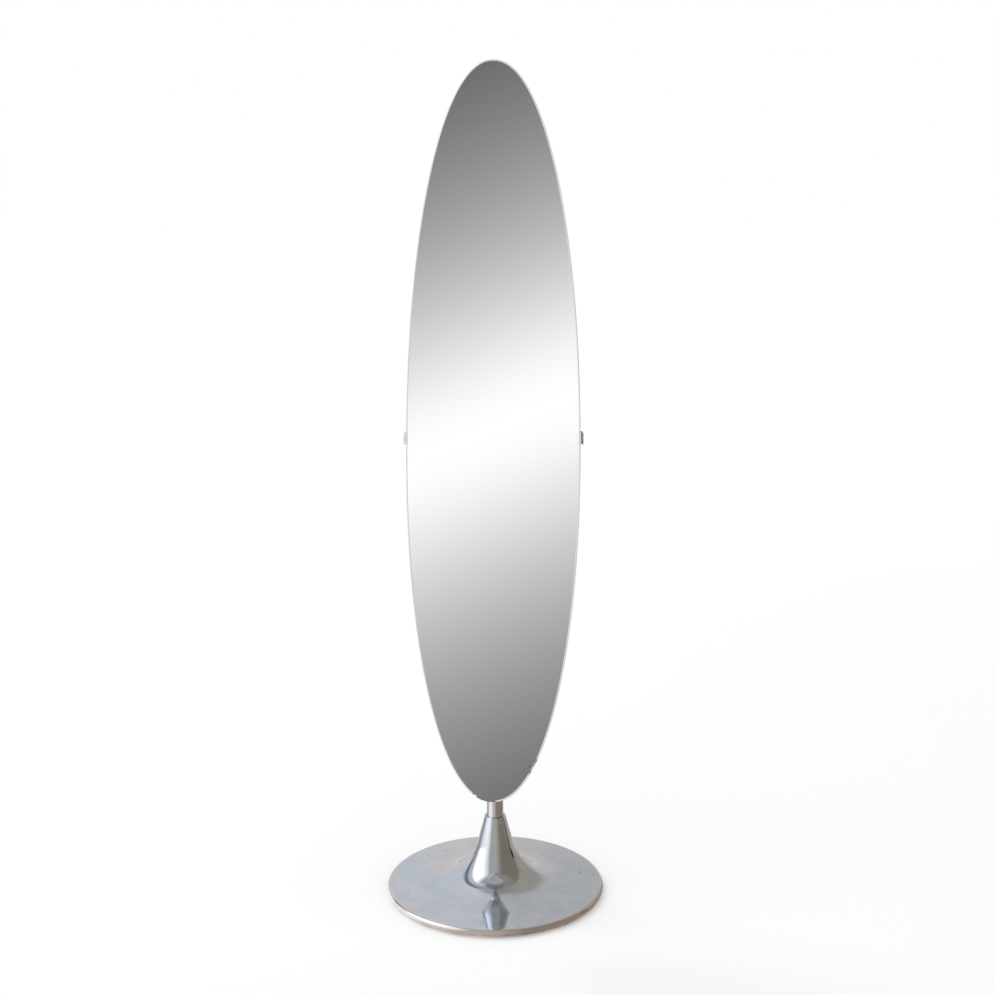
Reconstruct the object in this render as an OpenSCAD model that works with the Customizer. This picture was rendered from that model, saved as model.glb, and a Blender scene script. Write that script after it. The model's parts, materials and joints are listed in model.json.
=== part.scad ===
// Free-standing oval floor mirror on a trumpet foot.
// A long oval mirror tilts between two side pivots on a bent flat bar,
// and the bar's round pole turns in a weighted, chromed foot.
// The front of the mirror faces -Y and the pole stands on the Z axis.

/* [Foot] */
// Outer diameter of the foot
foot_d = 418; // [380:2:450]
// Height of the foot at the top of its trumpet
foot_height = 149; // [130:1:170]
// Diameter at the top of the trumpet
trumpet_top_d = 40; // [39.5:0.5:46]
// Slope of the trumpet's straight side, in degrees from upright
trumpet_slope = 15; // [13:0.5:16]
// Height of the disc's upper face at its outer edge
disc_edge_height = 15.5; // [14:0.5:20]
// Slope of the disc's upper face, in degrees
disc_slope = 3.5; // [3:0.5:5]
// Radius of the hollow flare under the trumpet's straight side
flare_r = 100; // [90:1:110]
// Radius of the wide skirt that runs on from the flare to the disc
skirt_r = 240; // [200:10:260]
// Slope where the flare meets the skirt, in degrees
skirt_slope = 13; // [10:0.5:14]
// Thickness of the spun steel shell
shell_wall = 1.5; // [1:0.1:1.6]

/* [Pole] */
// Outer diameter of the pole
pole_d = 32; // [30:0.5:32]
// Wall thickness of the pole
pole_wall = 2; // [1.5:0.5:3]
// Height of the tilt axis above the floor
pivot_height = 895; // [860:1:960]
// Distance of the tilt axis in front of the pole's axis
pivot_forward = 42; // [42:1:55]

/* [Yoke] */
// Height of the flat bar
bar_height = 22; // [18:1:24]
// Thickness of the flat bar
bar_thick = 3; // [2.5:0.5:4]
// Inner radius of the bar's two bends
bar_bend_r = 6; // [4:1:8]

/* [Mirror] */
// Overall width of the mirror
mirror_width = 320; // [300:2:340]
// Overall length of the mirror
mirror_length = 1360; // [1280:10:1380]
// Squareness of the oval, where 2 is a true ellipse
oval_power = 2.12; // [2:0.01:2.4]
// Share by which the oval is wider at its bottom and narrower at its top
oval_taper = 0.03; // [0:0.005:0.05]
// Distance from the tilt axis up to the middle of the mirror
centre_above_pivot = 20; // [0:1:30]
// Lean of the mirror from upright, with its top to the back
lean_angle = 11; // [0:0.5:24]
// Width of the rim's front lip
lip_width = 4; // [3:0.5:6]
// Thickness of the glass
glass_thick = 4; // [3:0.5:5]
// Thickness of the backing board
board_thick = 12; // [10:1:14]

/* [Hidden] */
$fn = 96;

// Clearances
slack = 0.3;
running_slack = 0.05;
thread_slack = 0.02;
cut = 1;

// Foot shell: a straight cone blended into a low disc with a rolled edge
foot_r = foot_d / 2;
trumpet_top_r = trumpet_top_d / 2;
lip_underside = 2;
lip_top = lip_underside + shell_wall;
lip_inner_r = foot_r - 19;
edge_r = (disc_edge_height - lip_underside) / 2;
edge_centre = [foot_r - edge_r, lip_underside + edge_r];
cone_normal = [cos(trumpet_slope), sin(trumpet_slope)];
disc_normal = [sin(disc_slope), cos(disc_slope)];
joint_normal = [sin(skirt_slope), cos(skirt_slope)];
disc_edge = edge_centre + edge_r * disc_normal;
flare_run = skirt_r * (disc_normal - joint_normal) + flare_r * (joint_normal - cone_normal);
disc_run = cone_normal * (disc_edge + flare_run - [trumpet_top_r, foot_height]) / cos(trumpet_slope + disc_slope);
disc_end = disc_edge + disc_run * [-cos(disc_slope), sin(disc_slope)];
skirt_centre = disc_end + skirt_r * disc_normal;
flare_centre = skirt_centre - (skirt_r - flare_r) * joint_normal;
shell_hole_r = pole_d / 2 + 0.4;
arc_steps = 14;

// Inside of the foot
felt_height = 1.9;
felt_outer_r = lip_inner_r - 2;
felt_width = 14;
weight_top = disc_edge_height - shell_wall - 0.5;
weight_r = foot_r - 9.5;
boss_r = 50;
boss_top = 20;
flange_r = 38;
flange_thick = 6;
flange_top = boss_top + flange_thick;
flange_screw_ring = 30;
plate_screw_ring = 120;
foot_screw_count = 3;
socket_r = 19;
socket_bore_r = 17;
socket_top = foot_height - 3;
bush_r = socket_bore_r - thread_slack;
bush_bore_r = pole_d / 2 + running_slack;
bush_length = 22;
bush_flange_r = 18.7;
bush_flange_thick = foot_height - shell_wall - socket_top;
thrust_thick = 3;
plug_flange_thick = 5;

// Pole and yoke
pole_r = pole_d / 2;
pole_bore_r = pole_r - pole_wall;
pole_bottom = flange_top + thrust_thick + plug_flange_thick;
pole_top = pivot_height + 16;
plug_length = 26;
cap_rise = 5;
cap_spigot = 12;
saddle_width = 44;
saddle_height = 26;
saddle_front = pole_r + 4;
saddle_back = 4;
bar_front = saddle_front + bar_thick;
bolt_spacing = 26;
bolt_r = 3;
bolt_length = 10;
bolt_head_r = 5.5;
bolt_head_height = 3.6;
washer_thick = 0.8;
washer_r = 6;

// Mirror, in a frame with its origin on the tilt axis and -Y to the front
rim_wall = 1.5;
rim_front = -12;
rim_back = 7.5;
lip_thick = 1.2;
glass_front = rim_front + lip_thick;
glass_back = glass_front + glass_thick;
packing_thick = 1;
board_front = glass_back + packing_thick;
board_back = board_front + board_thick;
inset = rim_wall + 0.4;
oval_points = 160;
joint_plate_thick = 1.6;
joint_plate_width = 44;
clip_thick = 1.1;
clip_length = 15;
clip_width = 12;
clip_screw_r = 1.5;
clip_screw_length = 9;
clip_positions = [24, 48, 70, 110, 132, 156, 204, 228, 250, 290, 312, 336];

// Pivots: a block inside the rim, a clip over it, a washer, the bar's arm and a screw
side_r = half_width(-centre_above_pivot) + thread_slack;
block_width = 13;
block_height = 30;
block_front = board_front + 0.2;
block_back = board_back - 0.2;
pivot_clip_wall = 1;
pivot_clip_fold = 3.6;
pivot_washer_left_thick = 0.5;
pivot_washer_right_thick = 1.2;
pivot_screw_r = 3;
pivot_head_r = 5;
pivot_head_height = 1.3;
pivot_screw_reach = side_r - rim_wall - block_width + 2;
arm_left = side_r + pivot_clip_wall + pivot_washer_left_thick;
arm_right = side_r + pivot_clip_wall + pivot_washer_right_thick;

// Points along an arc
function arc(centre, r, from, to) =
    [for (i = [0 : arc_steps])
        centre + r * [cos(from + (to - from) * i / arc_steps), sin(from + (to - from) * i / arc_steps)]];

// A list in reverse order
function reversed(points) = [for (i = [len(points) - 1 : -1 : 0]) points[i]];

// Signed power, which turns a circle into a squarer oval
function signed_power(v, e) = sign(v) * pow(abs(v), e);

// Half of the oval's full width at a height above its middle, before it is rounded off
function tapered_half(up) = mirror_width / 2 * (1 - oval_taper * up / (mirror_length / 2));

// A point on the mirror's outline
function oval_point(t) =
    let (up = mirror_length / 2 * signed_power(sin(t), 2 / oval_power))
    [tapered_half(up) * signed_power(cos(t), 2 / oval_power), up];

// Outward unit normal of the outline
function oval_normal(t) =
    let (p = oval_point(t),
         a = tapered_half(p[1]),
         b = mirror_length / 2,
         taper_share = pow(abs(p[0] / a), oval_power) * oval_taper * mirror_width / 2 / (a * b),
         n = [signed_power(p[0] / a, oval_power - 1) / a,
              signed_power(p[1] / b, oval_power - 1) / b + taper_share])
    n / norm(n);

// Half width of the mirror at a height above its middle
function half_width(up) =
    tapered_half(up) * pow(1 - pow(abs(up) / (mirror_length / 2), oval_power), 1 / oval_power);

// The shell's outer face from the trumpet's top to its rolled edge, moved inwards by d
function shell_side(d) = concat(
    [[trumpet_top_r - d / cos(trumpet_slope) + d * tan(trumpet_slope), foot_height - d]],
    arc(flare_centre, flare_r + d, 180 + trumpet_slope, 270 - skirt_slope),
    arc(skirt_centre, skirt_r + d, 270 - skirt_slope, 270 - disc_slope),
    arc(edge_centre, edge_r - d, 90 - disc_slope, -90)
);

// The mirror's outline, moved inwards by d
module oval(d = 0) {
    polygon([for (i = [0 : oval_points - 1])
        let (t = 360 * i / oval_points) oval_point(t) - d * oval_normal(t)]);
}

// Places a flat sheet of the mirror between two depths
module mirror_slab(front, back) {
    translate([0, back, centre_above_pivot])
        rotate([90, 0, 0])
            linear_extrude(back - front)
                children();
}

// Puts the mirror's own frame on the tilt axis, at its lean
module on_pivot() {
    translate([0, -pivot_forward, pivot_height])
        rotate([-lean_angle, 0, 0])
            children();
}

// A ring about the Z axis
module ring(outer, inner, from, to) {
    difference() {
        translate([0, 0, from])
            cylinder(r = outer, h = to - from);
        translate([0, 0, from - cut])
            cylinder(r = inner, h = to - from + 2 * cut);
    }
}

// Copies its children round the Z axis
module round_the_foot(ring_r, turn = 0) {
    for (i = [0 : foot_screw_count - 1])
        rotate([0, 0, turn + i * 360 / foot_screw_count])
            translate([ring_r, 0, 0])
                children();
}

// A rod along X between two places
module x_rod(r, from, to) {
    translate([from, 0, 0])
        rotate([0, 90, 0])
            cylinder(r = r, h = to - from);
}

// Spun and chromed steel shell, rolled under the iron weight
module foot_shell() {
    color("silver")
        rotate_extrude($fn = 180)
            polygon(concat(
                [[shell_hole_r, foot_height - shell_wall], [shell_hole_r, foot_height]],
                shell_side(0),
                [[lip_inner_r, lip_underside], [lip_inner_r, lip_top]],
                reversed(shell_side(shell_wall))
            ));
}

// Cast iron disc with a raised middle
module base_weight() {
    color("dimgray")
        difference() {
            union() {
                translate([0, 0, lip_top])
                    cylinder(r = weight_r, h = weight_top - lip_top);
                translate([0, 0, weight_top - cut])
                    cylinder(r = boss_r, h = boss_top - weight_top + cut);
            }
            round_the_foot(flange_screw_ring)
                translate([0, 0, lip_top + 3])
                    cylinder(r = bolt_r + thread_slack, h = boss_top);
            round_the_foot(plate_screw_ring, 60)
                translate([0, 0, lip_top - cut])
                    cylinder(r = 2.5 + thread_slack, h = 8);
        }
}

// Thin steel plate that closes the foot from below
module bottom_plate() {
    color("gray")
        difference() {
            translate([0, 0, felt_height])
                cylinder(r = felt_outer_r, h = lip_top - felt_height);
            round_the_foot(plate_screw_ring, 60)
                translate([0, 0, felt_height - cut])
                    cylinder(r = 2.5 + slack, h = lip_top);
        }
}

// Pan-head screws of the bottom plate
module bottom_plate_screws() {
    color("darkgray")
        round_the_foot(plate_screw_ring, 60) {
            translate([0, 0, felt_height - 1.3])
                cylinder(r = 4.5, h = 1.3);
            translate([0, 0, felt_height - cut])
                cylinder(r = 2.5, h = 7 + cut);
        }
}

// Felt ring that the foot stands on
module felt_ring() {
    color("black")
        ring(felt_outer_r, felt_outer_r - felt_width, 0, felt_height);
}

// Steel flange under the socket tube
module socket_flange() {
    color("gray")
        difference() {
            translate([0, 0, boss_top])
                cylinder(r = flange_r, h = flange_thick);
            round_the_foot(flange_screw_ring)
                translate([0, 0, boss_top - cut])
                    cylinder(r = bolt_r + slack, h = flange_thick + 2 * cut);
        }
}

// Cap screws that hold the flange on the weight
module flange_screws() {
    color("darkgray")
        round_the_foot(flange_screw_ring)
            difference() {
                union() {
                    translate([0, 0, flange_top])
                        cylinder(r = 5, h = 6);
                    translate([0, 0, lip_top + 4])
                        cylinder(r = bolt_r, h = flange_top - lip_top - 3);
                }
                translate([0, 0, flange_top + 3])
                    cylinder(r = 2.9, h = 6, $fn = 6);
            }
}

// Tube inside the trumpet that carries the two bushes
module socket_tube() {
    color("gray")
        ring(socket_r, socket_bore_r, flange_top, socket_top);
}

// Nylon bush at the foot of the socket
module lower_bush() {
    color("ivory")
        ring(bush_r, bush_bore_r, pole_bottom + 2, pole_bottom + 2 + bush_length);
}

// Flanged nylon bush in the mouth of the socket
module upper_bush() {
    color("black")
        difference() {
            union() {
                translate([0, 0, socket_top - bush_length])
                    cylinder(r = bush_r, h = bush_length + cut);
                translate([0, 0, socket_top])
                    cylinder(r = bush_flange_r, h = bush_flange_thick);
            }
            translate([0, 0, socket_top - bush_length - cut])
                cylinder(r = bush_bore_r, h = bush_length + bush_flange_thick + 2 * cut);
        }
}

// Slippery washer that the pole turns on
module thrust_washer() {
    color("ivory")
        translate([0, 0, flange_top])
            cylinder(r = socket_bore_r - slack, h = thrust_thick);
}

// Steel plug in the lower end of the pole
module pole_foot_plug() {
    color("darkgray")
        union() {
            translate([0, 0, pole_bottom - plug_flange_thick])
                cylinder(r = pole_r - slack, h = plug_flange_thick);
            translate([0, 0, pole_bottom - cut])
                cylinder(r = pole_bore_r - thread_slack, h = plug_length + cut);
        }
}

// Chromed tube that rises behind the mirror
module pole_tube() {
    color("silver")
        ring(pole_r, pole_bore_r, pole_bottom, pole_top);
}

// Low domed cap in the top of the pole
module pole_cap() {
    dome_r = (pole_r * pole_r + cap_rise * cap_rise) / (2 * cap_rise);
    color("silver")
        union() {
            intersection() {
                translate([0, 0, pole_top])
                    cylinder(r = pole_r, h = cap_rise);
                translate([0, 0, pole_top + cap_rise - dome_r])
                    sphere(r = dome_r);
            }
            translate([0, 0, pole_top - cap_spigot])
                cylinder(r = pole_bore_r - thread_slack, h = cap_spigot + cut);
        }
}

// The places of the two bolts through the bar, pointing to the front
module at_bolts() {
    for (side = [-1, 1])
        translate([side * bolt_spacing / 2, 0, pivot_height])
            rotate([90, 0, 0])
                children();
}

// Block brazed to the front of the pole
module yoke_saddle() {
    color("silver")
        difference() {
            translate([-saddle_width / 2, -saddle_front, pivot_height - saddle_height / 2])
                cube([saddle_width, saddle_front - saddle_back, saddle_height]);
            translate([0, 0, pivot_height - saddle_height])
                cylinder(r = pole_r + thread_slack, h = 2 * saddle_height);
            at_bolts()
                translate([0, 0, saddle_front - bolt_length + bar_thick])
                    cylinder(r = bolt_r + thread_slack, h = bolt_length);
        }
}

// One bent end of the bar, on the right, with its pivot eye
module bar_arm(inner_x, washer_x) {
    bend_x = inner_x - bar_bend_r;
    bend_y = -bar_front - bar_bend_r;
    translate([0, 0, pivot_height - bar_height / 2]) {
        translate([bend_x, bend_y, 0])
            intersection() {
                difference() {
                    cylinder(r = bar_bend_r + bar_thick, h = bar_height);
                    translate([0, 0, -cut])
                        cylinder(r = bar_bend_r, h = bar_height + 2 * cut);
                }
                cube([bar_bend_r + bar_thick, bar_bend_r + bar_thick, bar_height]);
            }
        translate([inner_x, -pivot_forward, 0])
            cube([bar_thick, pivot_forward + bend_y, bar_height]);
        translate([0, -bar_front, 0])
            cube([bend_x, bar_thick, bar_height]);
    }
    translate([0, -pivot_forward, pivot_height])
        x_rod(bar_height / 2, inner_x, inner_x + bar_thick);
}

// The hole and the seat of a pivot screw in the bar's right arm
module pivot_eye(inner_x) {
    translate([0, -pivot_forward, pivot_height]) {
        x_rod(pivot_screw_r + running_slack, inner_x - cut, inner_x + bar_thick + cut);
        x_rod(pivot_head_r + slack, inner_x + bar_thick - pivot_head_height, inner_x + bar_thick + cut);
    }
}

// Flat bar bent forward at both ends to carry the pivots
module yoke_bar() {
    color("silver")
        difference() {
            union() {
                bar_arm(arm_right);
                mirror([1, 0, 0])
                    bar_arm(arm_left);
            }
            pivot_eye(arm_right);
            mirror([1, 0, 0])
                pivot_eye(arm_left);
            at_bolts()
                cylinder(r = bolt_r + slack, h = bar_front + cut);
        }
}

// Hexagon bolts that hold the bar on its saddle
module yoke_bolts() {
    color("darkgray")
        at_bolts() {
            translate([0, 0, bar_front + washer_thick])
                cylinder(r = bolt_head_r, h = bolt_head_height, $fn = 6);
            translate([0, 0, bar_front - bolt_length + 1])
                cylinder(r = bolt_r, h = bolt_length + washer_thick);
        }
}

// Washers under the bolt heads
module yoke_washers() {
    color("gray")
        at_bolts()
            ring(washer_r, bolt_r + slack, bar_front, bar_front + washer_thick);
}

// Chromed steel band with a narrow lip round the front of the glass
module mirror_rim() {
    color("silver")
        on_pivot()
            difference() {
                mirror_slab(rim_front, rim_back)
                    oval();
                mirror_slab(glass_front, rim_back + cut)
                    oval(rim_wall);
                mirror_slab(rim_front - cut, rim_back + cut)
                    oval(lip_width);
                x_rod(pivot_screw_r + slack, -side_r - cut, side_r + cut);
            }
}

// The space between the band and an inner oval, over a width at the mirror's top
module top_strip(front, back, outer, inner, width) {
    intersection() {
        difference() {
            mirror_slab(front, back)
                oval(outer);
            mirror_slab(front - cut, back + cut)
                oval(inner);
        }
        translate([-width / 2, rim_front - cut, mirror_length / 4])
            cube([width, rim_back - rim_front + 2 * cut, mirror_length / 2]);
    }
}

// Plate inside the band that joins its two ends at the top
module rim_joint_plate() {
    color("gray")
        on_pivot()
            top_strip(board_front + cut, board_back - cut,
                      rim_wall + thread_slack, rim_wall + joint_plate_thick, joint_plate_width);
}

// Silvered oval glass
module mirror_glass() {
    color("lightsteelblue")
        on_pivot()
            mirror_slab(glass_front, glass_back)
                oval(inset);
}

// Soft sheet between the glass and the board
module packing_sheet() {
    color("darkgray")
        on_pivot()
            mirror_slab(glass_back, board_front)
                oval(inset + 2);
}

// Puts its children at one clip: X towards the oval's middle, Z to the back
module at_clip(t) {
    p = oval_point(t) - rim_wall * oval_normal(t);
    n = oval_normal(t);
    translate([p[0], board_back, p[1] + centre_above_pivot])
        rotate([0, -atan2(n[1], n[0]), 0])
            rotate([-90, 0, 0])
                mirror([1, 0, 0])
                    children();
}

// Fibreboard that backs the glass, notched for the two pivot blocks
module backing_board() {
    color("saddlebrown")
        on_pivot()
            difference() {
                mirror_slab(board_front, board_back)
                    oval(inset);
                top_strip(board_front - cut, board_back + cut,
                          rim_wall, rim_wall + joint_plate_thick + slack, joint_plate_width + 2);
                for (side = [-1, 1])
                    translate([side * side_r - block_width - rim_wall - slack,
                               board_front - cut, -block_height / 2 - slack])
                        cube([2 * (block_width + rim_wall + slack),
                              board_thick + 2 * cut, block_height + 2 * slack]);
                for (t = clip_positions)
                    at_clip(t)
                        translate([clip_length * 0.6, 0, -clip_screw_length])
                            cylinder(r = clip_screw_r + thread_slack, h = clip_screw_length + cut, $fn = 24);
            }
}

// Small steel tongues that hold the board in the band
module retaining_clips() {
    color("gray")
        on_pivot()
            for (t = clip_positions)
                at_clip(t)
                    difference() {
                        translate([0.8, -clip_width / 2, 0])
                            cube([clip_length, clip_width, clip_thick]);
                        translate([clip_length * 0.6, 0, -cut])
                            cylinder(r = clip_screw_r + slack, h = clip_thick + 2 * cut, $fn = 24);
                    }
}

// Screws of the retaining clips
module clip_screws() {
    color("darkgray")
        on_pivot()
            for (t = clip_positions)
                at_clip(t)
                    translate([clip_length * 0.6, 0, 0]) {
                        translate([0, 0, clip_thick])
                            cylinder(r = 3, h = 1.6, $fn = 24);
                        translate([0, 0, 0.5 - clip_screw_length])
                            cylinder(r = clip_screw_r, h = clip_screw_length + clip_thick, $fn = 24);
                    }
}

// Threaded steel block inside the band, on the right
module pivot_block() {
    on_pivot_side()
        difference() {
            translate([side_r - rim_wall - block_width - 0.1, block_front, -block_height / 2])
                cube([block_width, block_back - block_front, block_height]);
            x_rod(pivot_screw_r + thread_slack, 0, side_r);
        }
}

// The mirror's frame, for pieces that come once on each side
module on_pivot_side() {
    on_pivot()
        children();
}

// Sheet clip that clasps the band round a pivot, on the right
module pivot_clip() {
    on_pivot_side()
        difference() {
            translate([side_r - pivot_clip_fold, rim_front - pivot_clip_wall, -bar_height / 2])
                cube([pivot_clip_fold + pivot_clip_wall,
                      rim_back - rim_front + 2 * pivot_clip_wall, bar_height]);
            translate([0, rim_front, -bar_height])
                cube([side_r, rim_back - rim_front, 2 * bar_height]);
            x_rod(pivot_screw_r + slack, 0, side_r + 2 * pivot_clip_wall);
        }
}

// Washer between a clip and the bar's arm, on the right
module pivot_washer(thick) {
    on_pivot_side()
        difference() {
            x_rod(9, side_r + pivot_clip_wall, side_r + pivot_clip_wall + thick);
            x_rod(pivot_screw_r + slack, side_r, side_r + 2 * pivot_clip_wall + thick);
        }
}

// Pivot screw with a sunk cheese head, on the right
module pivot_screw(inner_x) {
    outer_x = inner_x + bar_thick;
    on_pivot_side()
        difference() {
            union() {
                x_rod(pivot_screw_r, pivot_screw_reach, outer_x);
                x_rod(pivot_head_r, outer_x - pivot_head_height + 0.1, outer_x);
            }
            translate([outer_x - 0.6, -pivot_head_r, -0.6])
                cube([cut, 2 * pivot_head_r, 1.2]);
        }
}

module pivot_block_right() {
    color("gray")
        pivot_block();
}

module pivot_block_left() {
    color("gray")
        mirror([1, 0, 0])
            pivot_block();
}

module pivot_clip_right() {
    color("silver")
        pivot_clip();
}

module pivot_clip_left() {
    color("silver")
        mirror([1, 0, 0])
            pivot_clip();
}

module pivot_washer_right() {
    color("dimgray")
        pivot_washer(pivot_washer_right_thick);
}

module pivot_washer_left() {
    color("dimgray")
        mirror([1, 0, 0])
            pivot_washer(pivot_washer_left_thick);
}

module pivot_screw_right() {
    color("darkgray")
        pivot_screw(arm_right);
}

module pivot_screw_left() {
    color("darkgray")
        mirror([1, 0, 0])
            pivot_screw(arm_left);
}

foot_shell();
base_weight();
bottom_plate();
bottom_plate_screws();
felt_ring();
socket_flange();
flange_screws();
socket_tube();
lower_bush();
upper_bush();
thrust_washer();
pole_foot_plug();
pole_tube();
pole_cap();
yoke_saddle();
yoke_bar();
yoke_bolts();
yoke_washers();
mirror_rim();
rim_joint_plate();
mirror_glass();
packing_sheet();
backing_board();
retaining_clips();
clip_screws();
pivot_block_left();
pivot_block_right();
pivot_clip_left();
pivot_clip_right();
pivot_washer_left();
pivot_washer_right();
pivot_screw_left();
pivot_screw_right();
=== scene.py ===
"""The looks of a free-standing oval floor mirror on a trumpet foot.

Lengths are in metres. The mirror's face looks towards -Y, and its pole stands on the Z axis.
"""
import json
import math

import bmesh
import bpy
from mathutils import Matrix, Vector


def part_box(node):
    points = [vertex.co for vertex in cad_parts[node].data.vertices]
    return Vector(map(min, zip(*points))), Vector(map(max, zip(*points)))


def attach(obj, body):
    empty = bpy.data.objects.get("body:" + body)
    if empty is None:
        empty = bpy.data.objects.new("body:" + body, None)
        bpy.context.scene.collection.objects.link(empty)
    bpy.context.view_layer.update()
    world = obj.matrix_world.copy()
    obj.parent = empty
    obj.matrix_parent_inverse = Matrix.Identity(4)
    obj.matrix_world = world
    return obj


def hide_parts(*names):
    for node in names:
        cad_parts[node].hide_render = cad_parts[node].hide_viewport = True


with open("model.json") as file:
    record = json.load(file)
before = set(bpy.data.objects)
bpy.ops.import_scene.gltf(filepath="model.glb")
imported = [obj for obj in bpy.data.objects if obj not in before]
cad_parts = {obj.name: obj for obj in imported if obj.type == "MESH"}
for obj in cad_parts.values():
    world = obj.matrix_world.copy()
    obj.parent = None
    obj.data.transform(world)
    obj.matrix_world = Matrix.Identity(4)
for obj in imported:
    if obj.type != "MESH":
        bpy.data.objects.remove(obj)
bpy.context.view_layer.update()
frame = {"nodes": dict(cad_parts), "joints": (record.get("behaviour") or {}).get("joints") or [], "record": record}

MM = 0.001

# Foot: a straight cone, a hollow flare, a wide skirt, a low disc and a rolled edge, in one spun shell.
# Slopes are in degrees, the cone's from upright and the others from level.
FOOT_LOW, FOOT_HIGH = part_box("foot_shell")
FOOT_R = FOOT_HIGH.x
TRUMPET_TOP = Vector((20 * MM, FOOT_HIGH.z))
TRUMPET_SLOPE = 15
FLARE_R = 100 * MM
SKIRT_SLOPE = 13
SKIRT_R = 240 * MM
DISC_SLOPE = 3.5
DISC_EDGE_HEIGHT = 15.5 * MM
SHELL_WALL = 1.5 * MM
SHELL_HOLE_R = 16.4 * MM
LIP_INNER_R = FOOT_R - 19 * MM
FOOT_SEGMENTS = 256
EDGE_R = (DISC_EDGE_HEIGHT - FOOT_LOW.z) / 2
EDGE_CENTRE = Vector((FOOT_R - EDGE_R, DISC_EDGE_HEIGHT - EDGE_R))

# Pole
POLE_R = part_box("pole_tube")[1].x
POLE_BORE_R = POLE_R - 2 * MM
POLE_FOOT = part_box("pole_tube")[0].z
POLE_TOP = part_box("pole_tube")[1].z
POLE_ROUNDING = 0.4 * MM
CAP_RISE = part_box("pole_cap")[1].z - POLE_TOP
CAP_EDGE = 0.5 * MM
CAP_CHAMFER = 0.3 * MM
SPIGOT_R = POLE_BORE_R - 0.02 * MM
SPIGOT_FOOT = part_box("pole_cap")[0].z
DOME_SHARE = 0.97

# Mirror, in a frame with its origin on the tilt axis, -Y to the front and Z along its length
TILT = next(joint for joint in frame["joints"] if joint["name"] == "tilt")
LEAN = math.radians(11)
MIRROR_FRAME = Matrix.Translation(TILT["pos_m"]) @ Matrix.Rotation(-LEAN, 4, "X")
OVAL_POWER = 2.12
OVAL_TAPER = 0.03
OVAL_HALF_WIDTH = 160 * MM
OVAL_POINTS = 480
RIM_WALL = 1.5 * MM
RIM_LIP = 3 * MM
GLASS_INSET = 1.9 * MM
GLASS_CHAMFER = 0.5 * MM

# Meshes: how close points are welded, from what angle between its faces an edge stays, shines as sharp and
# is rounded off, and how near their ends long runs get a point
SKIN_WELD = 1e-7
SOLID_WELD = 1e-6
FLAT_ANGLE = math.radians(1)
SHARP_ANGLE = math.radians(35)
ROUNDED_ANGLE = math.radians(40)
ROUNDED_STEPS = 3
HOLD = 0.3 * MM
LONG_RUN = 20 * HOLD


def box_in(place, node):
    """The lowest and highest corner of a CAD node, in the frame of the matrix place."""
    to_place = place.inverted()
    corners = [to_place @ vertex.co for vertex in frame["nodes"][node].data.vertices]
    return [Vector(map(limit, zip(*corners))) for limit in (min, max)]


RIM_LOW, RIM_HIGH = box_in(MIRROR_FRAME, "mirror_rim")
GLASS_LOW, GLASS_HIGH = box_in(MIRROR_FRAME, "mirror_glass")
OVAL_CENTRE = (RIM_LOW.z + RIM_HIGH.z) / 2
OVAL_HALF_LENGTH = (RIM_HIGH.z - RIM_LOW.z) / 2

# Single marks of wear on the foot, and the bar's ends, the left one with a painted highlight and the right one
# darker
FOOT_SCUFF = (88 * MM, 81 * MM, 20 * MM)
FOOT_NICK = (167 * MM, 30 * MM, 17 * MM)
TRUMPET_FILM = (8 * MM, -19 * MM, 143 * MM)
BAR_END = Vector((165 * MM, 0, 0))

# Single marks on the mirror, in its frame: a painted dark reflection and a painted glint at the rim's lowest
# point, and wear
RIM_DARK_REFLECTION = (-16 * MM, RIM_LOW.y, -652 * MM)
RIM_GLINT = (-32 * MM, RIM_LOW.y, -648 * MM)
RIM_CHIPS = (71 * MM, RIM_LOW.y, -594 * MM)
LOST_SILVER = (68 * MM, GLASS_LOW.y, -596 * MM)

# Heights in the mirror's frame between which painted light from below turns the board pale
LIT_BOARD_HEIGHTS = (-430 * MM, -350 * MM)


# Outlines and meshes

def arc(centre, radius, start, end, steps):
    """Points along an arc between two angles in degrees."""
    angles = [math.radians(start + (end - start) * i / steps) for i in range(steps + 1)]
    return [centre + radius * Vector((math.cos(a), math.sin(a))) for a in angles]


def rounded(corners, steps=5):
    """A closed outline through (x, y, radius) corners, each rounded off to its radius."""
    outline = []
    for before, corner, after in zip(corners[-1:] + corners[:-1], corners, corners[1:] + corners[:1]):
        tip = Vector(corner[:2])
        back = (Vector(before[:2]) - tip).normalized()
        ahead = (Vector(after[:2]) - tip).normalized()
        radius = corner[2]
        half = back.angle(ahead) / 2
        if radius == 0:
            outline.append(tip)
            continue
        centre = tip + (back + ahead).normalized() * radius / math.sin(half)
        start = tip + back * radius / math.tan(half) - centre
        end = tip + ahead * radius / math.tan(half) - centre
        outline += [centre + radius * start.slerp(end, i / steps) for i in range(steps + 1)]
    return outline


def held(outline):
    """A closed outline with points near the ends of its long runs, so that these shine as straight."""
    points = []
    for start, end in zip(outline, outline[1:] + outline[:1]):
        points.append(start)
        if (end - start).length > LONG_RUN:
            along = HOLD * (end - start).normalized()
            points += [start + along, end - along]
    return points


def turned(profile, segments=192):
    """Rings about the Z axis, one through each (radius, height) of the profile."""
    turns = [math.tau * i / segments for i in range(segments)]
    return [[(r * math.cos(t), r * math.sin(t), z) for t in turns] for r, z in profile]


def signed_power(value, power):
    """A power that keeps the sign, which turns a circle into a squarer oval."""
    return math.copysign(abs(value) ** power, value)


def oval_point(turn):
    """A point (across, up) of the mirror's outline."""
    up = signed_power(math.sin(turn), 2 / OVAL_POWER)
    half = OVAL_HALF_WIDTH * (1 - OVAL_TAPER * up)
    return Vector((half * signed_power(math.cos(turn), 2 / OVAL_POWER), OVAL_HALF_LENGTH * up))


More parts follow.
